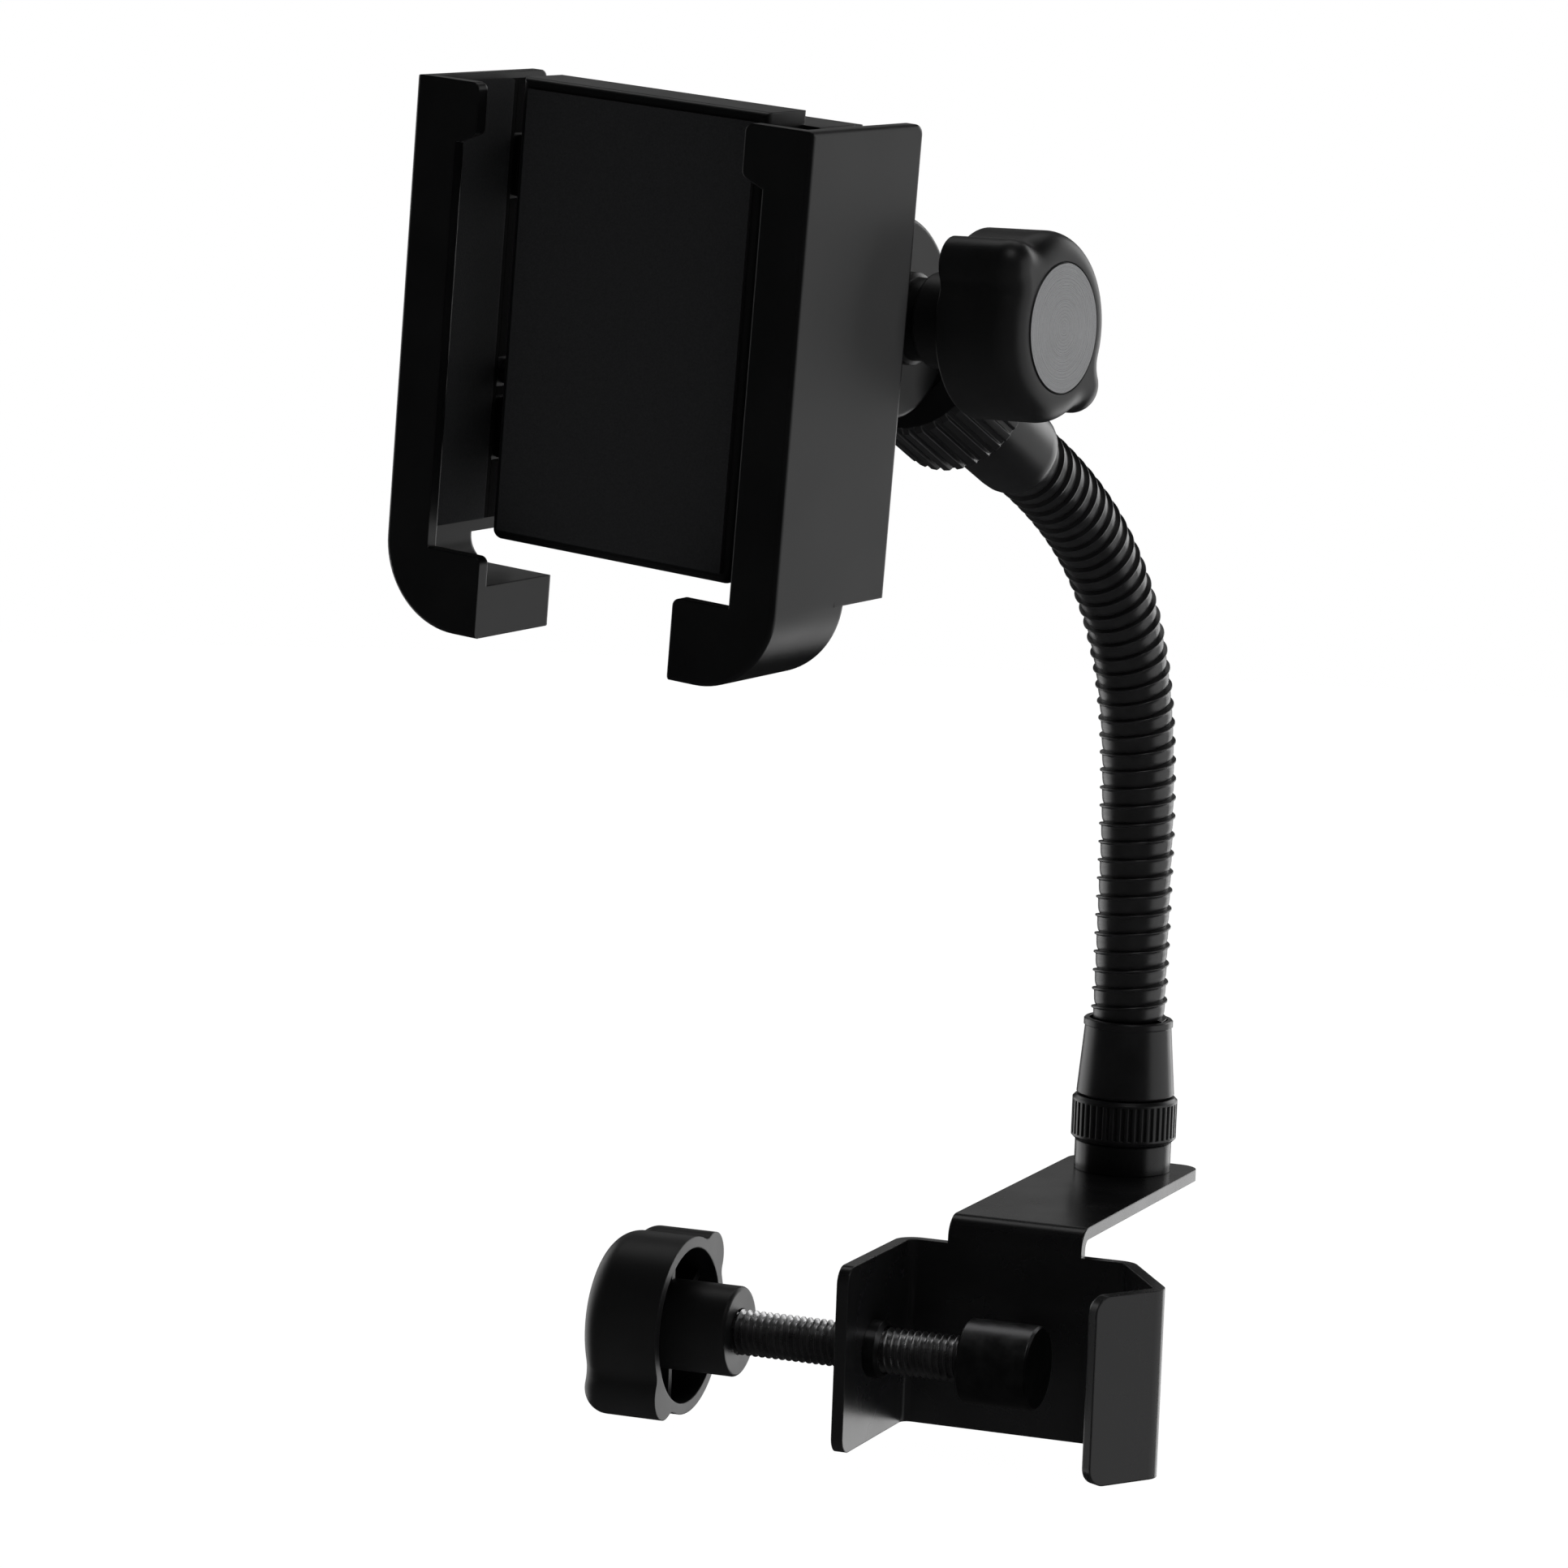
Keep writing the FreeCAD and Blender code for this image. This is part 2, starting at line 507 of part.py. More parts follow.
knuckle = new_body("tilt_knuckle")
rod(knuckle, "stem", "z", (0, 0, s.top_cone_tall), s.stem_dia / 2, s.head_long - s.top_cone_tall)
rod(knuckle, "boss", "x", (-s.boss_left, 0, s.head_long), s.boss_dia / 2, s.boss_left + s.boss_right)
rod(knuckle, "pivot_hole", "x", (-s.boss_left - 1, 0, s.head_long), s.pivot_dia / 2 + s.run_fit,
    s.boss_left + s.boss_right + 2, True)
rod(knuckle, "ear_room", "x", (-s.boss_left - s.stem_dia, 0, s.head_long), s.boss_dia / 2 + s.ear_gap,
    s.stem_dia, True)
soften(knuckle, "boss_edges", s.boss_round, lambda m, l, d, e: l > 3 * DIMS["boss_dia"] and near(
    m.x, DIMS["boss_right"]) or l > 3 * DIMS["boss_dia"] and near(m.x, -DIMS["boss_left"]))
knuckle.Placement = head_place
keep("tilt_knuckle", knuckle)

# Tilt bracket, screw, spacer and knob, in a frame on the tilt axis
pivot = head_place.multVec(FreeCAD.Vector(0, 0, DIMS["head_long"]))
yaw_turn = FreeCAD.Rotation(FreeCAD.Vector(0, 0, 1), -DIMS["yaw"])
tilt_turn = yaw_turn.multiply(FreeCAD.Rotation(FreeCAD.Vector(1, 0, 0), DIMS["cradle_tilt"]))
tilt_place = FreeCAD.Placement(pivot, tilt_turn)
ear_right = -s.boss_left - s.ear_gap
ear_left = ear_right - s.ear_thick
back_gap = s.ear_gap
hold = new_body("tilt_bracket")
rod(hold, "ear", "x", (ear_left, 0, 0), s.boss_dia / 2, s.ear_thick)
box(hold, "web", (ear_left, -s.arm_back + back_gap + 1, -s.boss_dia / 3),
    (s.ear_thick, s.arm_back - 2, s.boss_dia / 1.5))
rod(hold, "flange", "y", (-s.arm_side, -s.arm_back + back_gap, 0), s.flange_dia / 2, s.flange_thick)
rod(hold, "ear_hole", "x", (ear_left - 1, 0, 0), s.pivot_dia / 2 + 0.05, s.ear_thick + 2, True)
rod(hold, "swivel_hole", "y", (-s.arm_side, -s.arm_back, 0), s.swivel_dia / 2 + 0.05,
    s.swivel_deep + 0.4, True)
soften(hold, "ear_edges", s.boss_round, lambda m, l, d, e: (
    near(m.x, ear_left.value) and l > DIMS["boss_dia"] / 2 and e.Curve.TypeId.endswith("Circle")))
hold.Placement = tilt_place
keep("tilt_bracket", hold)

bolt = new_body("tilt_screw")
bolt_end = s.knob_near + s.hub_out + s.knob_thick - s.knob_floor - s.bolt_cover
head_end = ear_left - s.bolt_head_tall
head_rad = s.bolt_head_dia / 2
turn(bolt, "bolt", [
    (0, head_end), (head_rad - s.edge_break, head_end), (head_rad, head_end + s.edge_break),
    (head_rad, ear_left), (s.pivot_dia / 2, ear_left), (s.pivot_dia / 2, bolt_end - s.edge_break),
    (s.pivot_dia / 2 - s.edge_break, bolt_end), (0, bolt_end)])
bolt.Placement = tilt_place.multiply(FreeCAD.Placement(FreeCAD.Vector(), to_x))
keep("tilt_screw", bolt)

spacer = new_body("tilt_spacer")
spacer_low = s.boss_right + 0.2
turn(spacer, "spacer", [
    (s.pivot_dia / 2 + 0.05, spacer_low), (s.spacer_dia / 2, spacer_low),
    (s.spacer_dia / 2, spacer_low + s.spacer_rim), (s.spacer_neck / 2, spacer_low + s.spacer_rim + 0.6),
    (s.spacer_neck / 2, s.knob_near - 0.2), (s.pivot_dia / 2 + 0.05, s.knob_near - 0.2)])
spacer.Placement = tilt_place.multiply(FreeCAD.Placement(FreeCAD.Vector(), to_x))
keep("tilt_spacer", spacer)

tilt_face = DIMS["knob_near"] + DIMS["hub_out"] + DIMS["knob_thick"]
tilt_knob_place = tilt_place.multiply(FreeCAD.Placement(FreeCAD.Vector(tilt_face, 0, 0), to_minus_x))
tilt_knob = make_knob("tilt_knob", s.pivot_dia)
tilt_knob.Placement = tilt_knob_place
keep("tilt_knob", tilt_knob)
tilt_disc = make_disc("tilt_knob_disc")
tilt_disc.Placement = tilt_knob_place
keep("tilt_knob_disc", tilt_disc)

# Cradle frame: x to the right, y to the back, z up, front lower left corner at zero, rolled about the swivel
swivel = tilt_place.multVec(FreeCAD.Vector(-DIMS["arm_side"], -DIMS["arm_back"], 0))
cradle_turn = tilt_turn.multiply(FreeCAD.Rotation(FreeCAD.Vector(0, 1, 0), DIMS["cradle_roll"]))
cradle_place = FreeCAD.Placement(swivel - cradle_turn.multVec(
    FreeCAD.Vector(DIMS["cradle_wide"] / 2, DIMS["cradle_deep"], DIMS["pivot_high"])), cradle_turn)
cover_back = s.cradle_deep
cover_front = s.cradle_deep - s.cover_thick

swivel_screw = new_body("swivel_screw")
turn(swivel_screw, "swivel_shank", [
    (0, -s.swivel_deep), (s.swivel_dia / 2 - 0.5, -s.swivel_deep), (s.swivel_dia / 2, 0.5 - s.swivel_deep),
    (s.swivel_dia / 2, s.cover_thick - s.case_sink), (s.swivel_head / 2, s.cover_thick - s.case_sink),
    (s.swivel_head / 2, s.cover_thick + 1.4), (s.swivel_head / 2 - 0.6, s.cover_thick + 2),
    (0, s.cover_thick + 2)])
swivel_screw.Placement = tilt_place.multiply(FreeCAD.Placement(
    FreeCAD.Vector(-DIMS["arm_side"], -DIMS["arm_back"], 0), FreeCAD.Rotation(FreeCAD.Vector(1, 0, 0), 90)))
keep("swivel_screw", swivel_screw)

# Housing: front slab and rear box, with through slots for the jaw arms
spring_y = cover_front - s.coil_room / 2 - s.coil_gap
spring_z = s.pivot_high - s.coil_drop
slab_wide = s.cradle_wide - s.box_inset * 2
slab_high = s.cradle_tall + s.slab_rise - s.box_low
box_wide = s.cradle_wide - s.rear_inset * 2
box_high = s.cradle_tall - s.box_drop - s.box_low
rear_front = s.box_front + s.slab_deep
housing = new_body("cradle_body")
box(housing, "slab", (s.box_inset, s.box_front, s.box_low), (slab_wide, s.slab_deep + 1, slab_high))
box(housing, "rear_box", (s.rear_inset, rear_front, s.box_low),
    (box_wide, cover_front - rear_front, box_high))
soften(housing, "slab_corners", s.slab_corner, lambda m, l, d, e: along_y(d) and near(
    m.z, DIMS["box_low"]) and m.y < rear_front.value and near(
    abs(m.x - DIMS["cradle_wide"] / 2), slab_wide.value / 2))
soften(housing, "front_edges", s.front_round, lambda m, l, d, e: near(m.y, DIMS["box_front"]))
for mark, low in (("low", s.arm_low), ("high", s.arm_high)):
    box(housing, "slot_" + mark, (s.rear_inset - 1, s.arm_front - s.slot_gap, low - s.slot_gap),
        (box_wide + 2, cover_front - s.arm_front + s.slot_gap + 1, s.arm_tall + s.slot_gap * 2), True)
rod(housing, "spring_way", "x", (s.rear_inset - 1, spring_y, spring_z), s.coil_room / 2, box_wide + 2, True)
rod(housing, "head_room", "y", (s.cradle_wide / 2, cover_front - 4, s.pivot_high), s.swivel_head / 2 + 1,
    5, True)
keep("cradle_body", housing)

cover = new_body("cradle_cover")
box(cover, "plate", (s.rear_inset, cover_front, s.box_low), (box_wide, s.cover_thick, box_high))
soften(cover, "back_edges", s.back_round, lambda m, l, d, e: near(m.y, DIMS["cradle_deep"]))
rod(cover, "swivel_bore", "y", (s.cradle_wide / 2, cover_front - 1, s.pivot_high), s.swivel_dia / 2 + 0.1,
    s.cover_thick + 2, True)
rod(cover, "head_seat", "y", (s.cradle_wide / 2, cover_front - 1, s.pivot_high), s.swivel_head / 2 + 1,
    s.case_sink + 1.2, True)
left_x = s.rear_inset + s.case_corner
right_x = s.cradle_wide - left_x
low_z = s.box_low + s.case_corner
high_z = s.cradle_tall - s.box_drop - s.case_corner
corner = [(left_x, low_z), (right_x, low_z), (left_x, high_z), (right_x, high_z)]
for number, (x, z) in enumerate(corner, 1):
    rod(cover, "screw_hole%d" % number, "y", (x, cover_front - 1, z), s.case_screw / 2 + 0.1,
        s.cover_thick + 2, True)
    rod(cover, "screw_sink%d" % number, "y", (x, cover_back - s.case_sink, z), s.case_head / 2 + 0.15,
        s.case_sink + 1, True)
    rod(housing, "screw_pilot%d" % number, "y", (x, cover_front - 4.6, z), s.case_screw / 2 + 0.05, 6, True)
keep("cradle_cover", cover)

screws = new_body("cover_screw_form")
turn(screws, "cover_screw", [
    (0, -6), (s.case_screw / 2 - 0.3, -6), (s.case_screw / 2, -5.6), (s.case_screw / 2, 0),
    (s.case_head / 2, 0), (s.case_head / 2, 1.0), (s.case_head / 2 - 0.55, 1.4), (0, 1.4)])
screw_forms = []
for x, z in corner:
    form = screws.Shape.copy()
    form.Placement = FreeCAD.Placement(FreeCAD.Vector(x.value, (cover_back - s.case_sink).value, z.value),
                                       FreeCAD.Rotation(FreeCAD.Vector(1, 0, 0), -90))
    screw_forms.append(form)

foam = new_body("cradle_pad")
foam_inset = s.box_inset + s.pad_inset
box(foam, "foam", (foam_inset, s.box_front - s.foam_thick, s.box_low + s.pad_inset),
    (s.cradle_wide - foam_inset * 2, s.foam_thick, slab_high - s.pad_inset * 2))
keep("cradle_pad", foam)

# Jaw: side wall, rounded foot, front lip with its wider tab, rear step and two slide arms
def make_jaw(label, flip):
    """Builds one jaw on the left of the cradle frame, or flipped over on the right."""
    jaw = new_body(label)

    def across(x):
        return s.cradle_wide - x if flip else size(x)

    def left_of(middle):
        return DIMS["cradle_wide"] - middle.x if flip else middle.x

    def bar(name, low, span):
        start = across(low[0] + span[0]) if flip else low[0]
        box(jaw, label + name, (start, low[1], low[2]), span)

    wall = outline(jaw, label + "_front", "XZ_Plane", [(across(x), z) for x, z in (
        (0, 0), (s.foot_long, 0), (s.foot_long, s.floor_high), (s.side_thick, s.floor_high),
        (s.side_thick, s.cradle_tall), (0, s.cradle_tall))])
    pad(jaw, label + "_wall", wall, s.jaw_deep, True)
    lip = outline(jaw, label + "_lip_view", "XZ_Plane", [(across(x), z) for x, z in (
        (0, 0), (s.foot_long, 0), (s.foot_long, s.lip_high), (s.lip_wide, s.lip_high),
        (s.lip_wide, s.cradle_tall - s.tab_tall - 2), (s.tab_wide, s.cradle_tall - s.tab_tall),
        (s.tab_wide, s.cradle_tall), (0, s.cradle_tall))])
    pad(jaw, label + "_lip", lip, s.lip_thick, True)
    soften(jaw, label + "_foot_round", s.jaw_round,
           lambda m, l, d, e: along_y(d) and near(left_of(m), 0) and near(m.z, 0))
    soften(jaw, label + "_inner_round", s.inner_round, lambda m, l, d, e: along_y(d) and near(
        left_of(m), DIMS["side_thick"]) and near(m.z, DIMS["floor_high"]))
    soften(jaw, label + "_rear_rim", s.rim_round,
           lambda m, l, d, e: near(m.y, DIMS["jaw_deep"]) and abs(d.y) < 1e-6)
    rear_start = s.jaw_deep - s.rim_round - s.lip_thick
    bar("_rear_wall", (size(0), rear_start, s.step_high),
        (s.side_thick, s.cradle_deep - rear_start, s.cradle_tall - s.step_high))
    soften(jaw, label + "_front_corners", s.tab_round, lambda m, l, d, e: along_y(d) and (
        near(left_of(m), DIMS["foot_long"]) and near(m.z, DIMS["lip_high"])
        or near(left_of(m), DIMS["tab_wide"])))
    soften(jaw, label + "_rear_corner", s.jaw_corner, lambda m, l, d, e: along_x(d) and near(
        m.y, DIMS["cradle_deep"]) and near(m.z, DIMS["cradle_tall"]))
    soften(jaw, label + "_outer_edges", s.jaw_edge, lambda m, l, d, e: near(left_of(m), 0) and (
        along_y(d) and near(m.z, DIMS["cradle_tall"])
        or upright(d) and (near(m.y, 0) or near(m.y, DIMS["cradle_deep"]))))
    for mark, low in (("_arm_low", s.arm_low), ("_arm_high", s.arm_high)):
        bar(mark, (s.side_thick - 0.5, s.arm_front, low), (s.arm_long + 0.5, s.arm_thick, s.arm_tall))
    return jaw


left_jaw = make_jaw("left_jaw_form", False)
right_jaw = make_jaw("right_jaw_form", True)

# Foam liner on the jaw's inner wall
liner = new_body("liner_form")
box(liner, "liner", (s.side_thick, s.lip_thick + s.liner_edge, s.liner_low),
    (s.liner_thick, s.jaw_deep - s.lip_thick - s.liner_edge * 2, s.cradle_tall - s.liner_low - s.liner_edge))
liner_mirror = doc.addObject("Part::Mirroring", "liner_mirror")
liner_mirror.Source = liner
liner_mirror.Normal = FreeCAD.Vector(1, 0, 0)
liner_mirror.Base = FreeCAD.Vector(DIMS["cradle_wide"] / 2, 0, 0)
doc.recompute()

# Springs between the housing's middle and each jaw, as plain tubes
coil = new_body("spring_form")
spring_reach = s.cradle_wide / 2 - s.side_thick - s.coil_gap * 2
turn(coil, "coil", [
    (s.coil_bore / 2, 0), (s.coil_dia / 2, 0), (s.coil_dia / 2, spring_reach), (s.coil_bore / 2, spring_reach)])
spring_start = DIMS["side_thick"] + DIMS["coil_gap"]
spring_left = FreeCAD.Placement(FreeCAD.Vector(spring_start, spring_y.value, spring_z.value), to_x)
spring_right = FreeCAD.Placement(
    FreeCAD.Vector(DIMS["cradle_wide"] - spring_start, spring_y.value, spring_z.value), to_minus_x)


def placed(label, shape, placement):
    thing = doc.addObject("Part::Feature", label)
    thing.Shape = shape
    thing.Placement = placement
    keep(label, thing)


for thing in (housing, cover, foam):
    thing.Placement = cradle_place
doc.recompute()
placed("left_jaw", left_jaw.Shape.copy(), cradle_place)
placed("right_jaw", right_jaw.Shape.copy(), cradle_place)
placed("left_liner", liner.Shape.copy(), cradle_place)
placed("right_liner", liner_mirror.Shape.copy(), cradle_place)
placed("left_spring", coil.Shape.copy(), cradle_place.multiply(spring_left))
placed("right_spring", coil.Shape.copy(), cradle_place.multiply(spring_right))
placed("cover_screws", Part.makeCompound(screw_forms), cradle_place)
doc.recompute()

# Checks and files
for thing in doc.Objects:
    if "Invalid" in thing.State or "Error" in thing.State:
        raise ValueError("not built: " + thing.Name)
os.makedirs("parts", exist_ok=True)
facets = 0
for label, thing in sorted(PARTS.items()):
    shape = thing.Shape
    if shape.isNull() or not shape.isValid():
        raise ValueError("bad shape: " + label)
    shape.exportStep("parts/%s.step" % label)
    facets += len(shape.tessellate(0.15)[1])
    print("%-16s solids %d volume %9.1f" % (label, len(shape.Solids), shape.Volume))
print("facets", facets)
for index, (place, tilt) in enumerate(neck_spots, 1):
    print("neck %d at %.3f %.3f %.3f angle %.2f" % (index, place.x, place.y, place.z, tilt))
print("head at", head_place.Base, "pivot at", pivot, "swivel at", swivel)
print("axes: bend", bend_axis, "head", head_place.Rotation.multVec(FreeCAD.Vector(0, 0, 1)))
print("tilt axis", tilt_turn.multVec(FreeCAD.Vector(1, 0, 0)),
      "swivel axis", tilt_turn.multVec(FreeCAD.Vector(0, 1, 0)))
print("cradle x", cradle_turn.multVec(FreeCAD.Vector(1, 0, 0)), "cradle corner", cradle_place.Base)
print("hub end", hub_end, "face", face_x, "cone top", cone_top.value)
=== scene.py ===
"""Looks of the phone holder: finishes, wound neck, thread, nut, linings, camera and light. Metres."""
import json
import math

import bpy
from mathutils import Matrix, Vector


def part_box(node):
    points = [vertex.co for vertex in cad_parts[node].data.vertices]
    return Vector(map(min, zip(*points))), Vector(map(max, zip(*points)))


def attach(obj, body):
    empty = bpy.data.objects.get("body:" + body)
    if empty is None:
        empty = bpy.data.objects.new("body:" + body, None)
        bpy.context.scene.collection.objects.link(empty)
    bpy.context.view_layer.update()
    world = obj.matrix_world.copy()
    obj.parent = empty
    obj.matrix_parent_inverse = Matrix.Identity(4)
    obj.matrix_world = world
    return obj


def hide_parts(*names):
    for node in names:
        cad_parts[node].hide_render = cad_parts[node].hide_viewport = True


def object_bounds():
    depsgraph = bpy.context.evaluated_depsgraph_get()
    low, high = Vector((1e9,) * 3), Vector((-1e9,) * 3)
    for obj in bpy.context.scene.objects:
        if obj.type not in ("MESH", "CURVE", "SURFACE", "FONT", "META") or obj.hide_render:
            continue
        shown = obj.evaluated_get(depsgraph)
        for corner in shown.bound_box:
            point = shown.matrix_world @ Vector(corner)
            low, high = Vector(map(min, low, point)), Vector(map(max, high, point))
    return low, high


MM = 0.001
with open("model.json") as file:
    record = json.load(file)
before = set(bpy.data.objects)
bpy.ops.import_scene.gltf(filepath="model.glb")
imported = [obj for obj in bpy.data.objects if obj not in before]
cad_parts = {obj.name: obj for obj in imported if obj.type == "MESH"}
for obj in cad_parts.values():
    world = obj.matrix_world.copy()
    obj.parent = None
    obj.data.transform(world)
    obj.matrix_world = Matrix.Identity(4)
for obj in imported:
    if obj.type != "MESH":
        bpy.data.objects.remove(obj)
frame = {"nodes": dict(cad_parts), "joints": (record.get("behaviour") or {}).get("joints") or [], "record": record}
cad_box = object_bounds()
joints = {joint["name"]: joint for joint in frame["joints"]}
nodes_of = frame["nodes"]
slot_of = {part["node"]: part["material_slot"] for part in frame["record"]["subparts"]}


# Finishes
class Finish:
    """A material with a tree of texture nodes in front of one shader."""

    def __init__(self, label, rough, metal=0.0, level=0.5, sheen=0.0, edge=0.0):
        self.material = bpy.data.materials.new(label)
        self.material.use_nodes = True
        self.tree = self.material.node_tree
        self.shader = self.tree.nodes["Principled BSDF"]
        self.set(self.shader, {"Roughness": rough, "Metallic": metal, "Specular IOR Level": level,
                               "Sheen Weight": sheen})
        self.place = self.add("ShaderNodeTexCoord").outputs["Object"]
        self.normal = None
        if edge:
            self.normal = self.add("ShaderNodeBevel", samples=6).outputs["Normal"]
            self.set(self.normal.node, {"Radius": edge})
            self.link(self.normal, self.shader.inputs["Normal"])

    def set(self, node, values):
        for label, value in values.items():
            node.inputs[label].default_value = value

    def add(self, kind, **settings):
        node = self.tree.nodes.new(kind)
        for label, value in settings.items():
            setattr(node, label, value)
        return node

    def link(self, start, end):
        self.tree.links.new(start, end)

    def stretched(self, scale, turn=(0, 0, 0), shift=(0, 0, 0), source=None):
        node = self.add("ShaderNodeMapping")
        self.set(node, {"Scale": scale, "Rotation": turn, "Location": shift})
        self.link(source or self.place, node.inputs["Vector"])
        return node.outputs["Vector"]

    def noise(self, scale, detail=3.0, source=None, rough=0.55):
        node = self.add("ShaderNodeTexNoise")
        self.set(node, {"Scale": scale, "Detail": detail, "Roughness": rough})
        self.link(source or self.place, node.inputs["Vector"])
        return node.outputs["Fac"]

    def between(self, source, low, high, start=0.3, end=0.7):
        node = self.add("ShaderNodeMapRange")
        self.set(node, {"From Min": start, "From Max": end, "To Min": low, "To Max": high})
        self.link(source, node.inputs["Value"])
        return node.outputs["Result"]

    def colour(self, source, stops):
        node = self.add("ShaderNodeValToRGB")
        ramp = node.color_ramp
        while len(ramp.elements) < len(stops):
            ramp.elements.new(0.5)
        for element, (spot, tone) in zip(ramp.elements, stops):
            element.position = spot
            element.color = (*tone, 1)
        self.link(source, node.inputs["Fac"])
        self.link(node.outputs["Color"], self.shader.inputs["Base Color"])

    def rough(self, source, low, high, start=0.3, end=0.7):
        self.link(self.between(source, low, high, start, end), self.shader.inputs["Roughness"])

    def bump(self, source, depth, strength=1.0):
        """Lays one more relief over those before it."""
        node = self.add("ShaderNodeBump")
        self.set(node, {"Distance": depth, "Strength": strength})
        self.link(source, node.inputs["Height"])
        if self.normal:
            self.link(self.normal, node.inputs["Normal"])
        self.normal = node.outputs["Normal"]
        self.link(self.normal, self.shader.inputs["Normal"])


def black_plastic():
    """Moulded plastic with an even spark grain."""
    made = Finish("black_plastic", 0.34, edge=0.45 * MM)
    broad = made.noise(70, 4)
    made.colour(broad, [(0.3, (0.0026, 0.0027, 0.0029)), (0.7, (0.004, 0.0041, 0.0044))])
    made.rough(broad, 0.31, 0.37)
    made.bump(made.noise(3600, 2), 0.008 * MM, 0.5)
    return made.material


def soft_plastic():
    """Knob plastic with a soft touch: duller and a little paler than the jaws."""
    made = Finish("soft_plastic", 0.42, edge=0.45 * MM)
    broad = made.noise(70, 4)
    made.colour(broad, [(0.3, (0.0075, 0.0076, 0.008)), (0.7, (0.0102, 0.0103, 0.0109))])
    made.rough(broad, 0.39, 0.45)
    made.bump(made.noise(3000, 2), 0.01 * MM, 0.5)
    return made.material


def black_coat():
    """Satin stove coat on sheet steel: a low orange peel and a fine tooth."""
    made = Finish("black_coat", 0.26, edge=0.5 * MM)
    broad = made.noise(55, 4)
    made.colour(broad, [(0.3, (0.0075, 0.0075, 0.008)), (0.72, (0.0112, 0.0113, 0.012))])
    made.rough(broad, 0.23, 0.3)
    made.bump(made.noise(620, 2), 0.008 * MM, 0.4)
    made.bump(made.noise(4200, 2), 0.004 * MM, 0.4)
    return made.material


def gloss_black():
    """Smooth black coat on turned parts, a little uneven in its gloss."""
    made = Finish("gloss_black", 0.3, level=0.6, edge=0.35 * MM)
    broad = made.noise(120, 3)
    made.colour(broad, [(0.3, (0.0075, 0.0075, 0.008)), (0.7, (0.0115, 0.0116, 0.0124))])
    made.rough(broad, 0.28, 0.34)
    made.bump(made.noise(2200, 2), 0.003 * MM, 0.3)
    return made.material


def wound_black():
    """Coated strip of the neck: fine hairlines run along the strip."""
    made = Finish("wound_black", 0.34, level=0.95)
    lay = made.add("ShaderNodeUVMap").outputs["UV"]
    lines = made.noise(1.0, 4, made.stretched((0.9, 60, 1), source=lay), 0.6)
    broad = made.noise(260, 3)
    made.colour(broad, [(0.3, (0.008, 0.008, 0.0085)), (0.7, (0.0135, 0.0136, 0.0144))])
    made.rough(lines, 0.27, 0.41)
    made.bump(lines, 0.02 * MM, 0.5)
    return made.material


def black_steel():
    """Blackened steel with an oily sheen."""
    made = Finish("black_steel", 0.34, metal=1.0, edge=0.25 * MM)
    broad = made.noise(300, 4)
    made.colour(broad, [(0.3, (0.12, 0.12, 0.123)), (0.7, (0.19, 0.19, 0.194))])
    made.rough(broad, 0.28, 0.4)
    made.bump(made.noise(2600, 3), 0.006 * MM, 0.4)
    return made.material


def thread_steel():
    """Cut thread: bright steel, patchy with oil."""
    made = Finish("thread_steel", 0.3, metal=1.0)
    broad = made.noise(260, 4)
    made.colour(broad, [(0.3, (0.42, 0.42, 0.425)), (0.7, (0.66, 0.66, 0.665))])
    made.rough(made.noise(900, 3), 0.24, 0.4)
    return made.material


def grey_foam(label, tone_low, tone_high):
    """Foam sheet: open pores, a soft bloom and a few pale specks of lint."""
    made = Finish(label, 0.9, level=0.25, sheen=0.04)
    pores = made.noise(2600, 4, rough=0.7)
    specks = made.add("ShaderNodeTexVoronoi")
    made.set(specks, {"Scale": 95, "Randomness": 1.0})
    made.link(made.place, specks.inputs["Vector"])
    thin = made.noise(60, 1)
    speck_size = 0.028
    near = made.add("ShaderNodeMath", operation="LESS_THAN")
    near.inputs[1].default_value = speck_size
    made.link(specks.outputs["Distance"], near.inputs[0])
    speck_rarity = 0.6
    rare = made.add("ShaderNodeMath", operation="GREATER_THAN")
    rare.inputs[1].default_value = speck_rarity
    made.link(thin, rare.inputs[0])
    both = made.add("ShaderNodeMath", operation="MULTIPLY")
    made.link(near.outputs["Value"], both.inputs[0])
    made.link(rare.outputs["Value"], both.inputs[1])
    tone = made.between(pores, 0.0, 0.35)
    total = made.add("ShaderNodeMath", operation="MAXIMUM")
    made.link(tone, total.inputs[0])
    made.link(both.outputs["Value"], total.inputs[1])
    made.colour(total.outputs["Value"], [
        (0.0, (tone_low, tone_low * 1.04, tone_low * 1.15)),
        (0.35, (tone_high, tone_high * 1.025, tone_high * 1.11)), (0.9, (0.2, 0.2, 0.21))])
    made.bump(pores, 0.06 * MM, 0.8)
    return made.material


def painted_shade_sheet():
    """Painted shade: a black sheet behind the foam linings, with short felt-like fibres and no gloss."""
    made = Finish("painted_shade_sheet", 0.95, level=0.1, sheen=0.02)
    fibres = made.noise(1.0, 4, made.stretched((2400, 2400, 700)), 0.7)
    made.colour(fibres, [(0.3, (0.003, 0.003, 0.0032)), (0.7, (0.0055, 0.0055, 0.0058))])
    made.bump(fibres, 0.05 * MM, 0.8)
    return made.material


